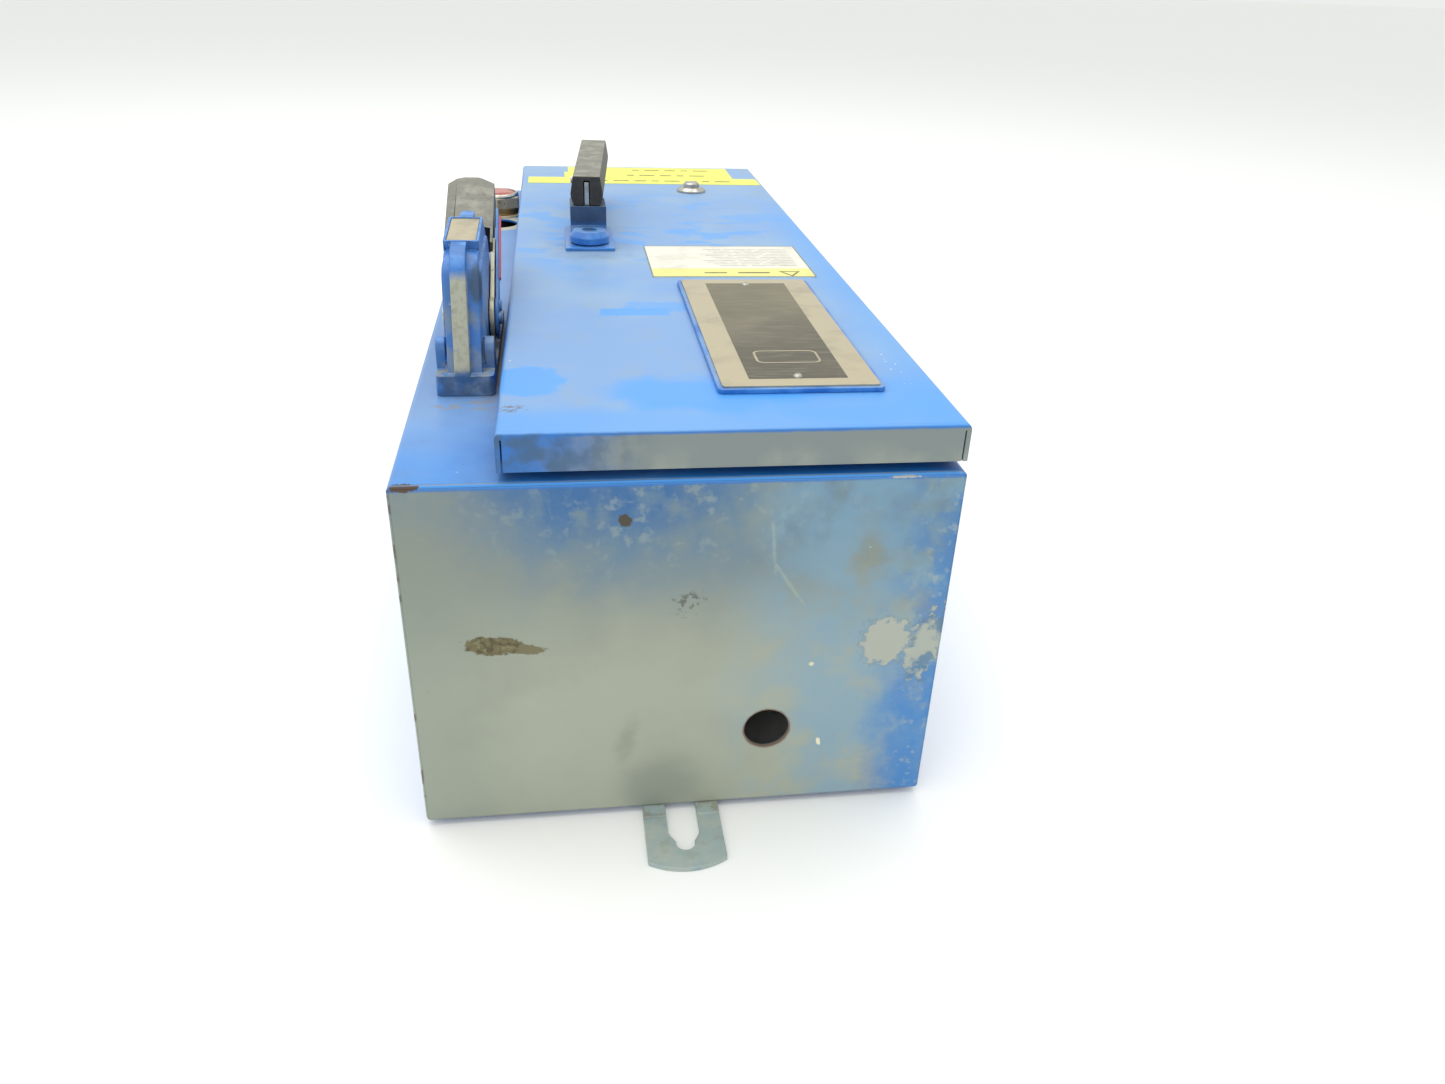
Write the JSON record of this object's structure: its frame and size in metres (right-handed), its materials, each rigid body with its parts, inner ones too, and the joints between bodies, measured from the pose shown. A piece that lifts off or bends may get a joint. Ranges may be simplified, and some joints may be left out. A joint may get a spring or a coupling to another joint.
{
  "type": "flange-operated disconnect enclosure",
  "caption": "Steel wall enclosure with a hinged door, flange lever that throws a fused knife switch, latch handle, reset button and pilot light.",
  "frame": {"origin": "middle of the mounting plane, under the tabs", "axes": "+Z out of the door, -Y towards the top end with the conduit hole, +X towards the hinge side"},
  "size_m": [0.25, 0.6956, 0.2604],
  "materials": {
    "blue_enamel": "worn gloss enamel",
    "worn_enamel": "blue enamel rubbed down to grey primer",
    "zinc_plate": "yellowed zinc plating",
    "steel": "bright steel",
    "panel_white": "white enamel",
    "black_grip": "dusty moulded phenolic",
    "phenolic": "moulded phenolic",
    "black_plastic": "moulded plastic",
    "cream_plastic": "moulded nylon",
    "copper": "bare copper",
    "brass": "brass",
    "aluminium": "satin",
    "nameplate_alu": "brushed champagne anodised",
    "fibre": "fish-paper fuse tube",
    "rubber": "closed-cell foam rubber",
    "label_white": "printed vinyl",
    "label_yellow": "printed vinyl",
    "lens_red": "faded red lens",
    "chrome": "worn chrome",
    "clear_shield": "clear polycarbonate",
    "coil_tape": "varnished coil tape"
  },
  "bodies": {
    "enclosure": {"enclosure_wrap": "blue_enamel", "front_flange": "blue_enamel", "top_end_plate": "worn_enamel", "bottom_end_plate": "blue_enamel", "top_mounting_tab": "worn_enamel", "bottom_mounting_tab": "worn_enamel", "mounting_panel": "panel_white", "panel_studs": "zinc_plate", "hinge_box_leaves": "steel", "hinge_pins": "steel", "handle_base": "blue_enamel", "handle_plate": "nameplate_alu", "handle_screws": "zinc_plate", "pilot_legend_ring": "cream_plastic", "pilot_washers": "brass", "pilot_ring_nut": "chrome", "pilot_bezel": "chrome", "pilot_lens": "lens_red", "pilot_body": "black_plastic", "switch_base": "phenolic", "bearing_brackets": "zinc_plate", "line_jaws": "copper", "hinge_clips": "copper", "line_lugs": "aluminium", "line_shield": "clear_shield", "fuse_base": "phenolic", "fuse_clips": "copper", "fuse_tubes": "fibre", "fuse_caps": "copper", "load_lugs": "aluminium", "contactor_base": "black_plastic", "contactor_coil": "coil_tape", "contactor_cover": "black_plastic", "contactor_terminals": "brass", "relay_body": "black_plastic", "relay_heaters": "brass", "ground_lug": "aluminium"},
    "door": {"door_panel": "blue_enamel", "hinge_door_leaves": "steel", "door_gasket": "rubber", "nameplate_pad": "blue_enamel", "nameplate": "nameplate_alu", "nameplate_rivets": "aluminium", "warning_label": "label_white", "wide_label": "label_yellow", "latch_plate": "blue_enamel", "reset_bushing": "aluminium"},
    "latch": {"latch_arm": "blue_enamel", "latch_grip": "black_grip", "latch_tang": "steel", "latch_shaft": "steel", "latch_cam": "zinc_plate"},
    "reset_button": {"reset_knob": "aluminium"},
    "lever": {"lever_yoke": "zinc_plate", "lever_shaft": "steel", "lever_grip": "black_grip", "lever_cover": "blue_enamel"},
    "link": {"connecting_link": "zinc_plate"},
    "switch_rotor": {"rotor": "phenolic"},
    "crossbar": {"contactor_crossbar": "cream_plastic"}
  },
  "joints": [
    {"name": "door_hinge", "type": "hinge", "parent": "enclosure", "child": "door", "pos_m": [0.1223, 0, 0.1876], "axis": [0, 1, 0], "range_deg": [0, 105]},
    {"name": "latch_turn", "type": "hinge", "parent": "door", "child": "latch", "pos_m": [-0.0305, 0.012, 0.2075], "axis": [0, 0, 1], "range_deg": [-90, 0]},
    {"name": "reset_push", "type": "slide", "parent": "door", "child": "reset_button", "axis": [0, 0, -1], "range_m": [0, 0.005], "stiffness_N_per_m": 300, "springref_m": -0.002},
    {"name": "lever_swing", "type": "hinge", "parent": "enclosure", "child": "lever", "pos_m": [-0.0987, -0.14, 0.205], "axis": [1, 0, 0], "range_deg": [0, 120]},
    {"name": "link_pivot", "type": "hinge", "parent": "lever", "child": "link", "pos_m": [-0.0987, -0.129, 0.18595], "axis": [1, 0, 0], "range_deg": [-121, 1]},
    {"name": "rotor_turn", "type": "hinge", "parent": "enclosure", "child": "switch_rotor", "pos_m": [-0.0987, -0.14, 0.095], "axis": [1, 0, 0], "range_deg": [-1, 121]},
    {"name": "contactor_pull", "type": "slide", "parent": "enclosure", "child": "crossbar", "axis": [0, 0, -1], "range_m": [0, 0.004], "stiffness_N_per_m": 400, "springref_m": -0.002}
  ],
  "couplings": [
    {"joint": "link_pivot", "follows": "lever_swing", "ratio": -1},
    {"joint": "rotor_turn", "follows": "lever_swing", "ratio": 1}
  ]
}
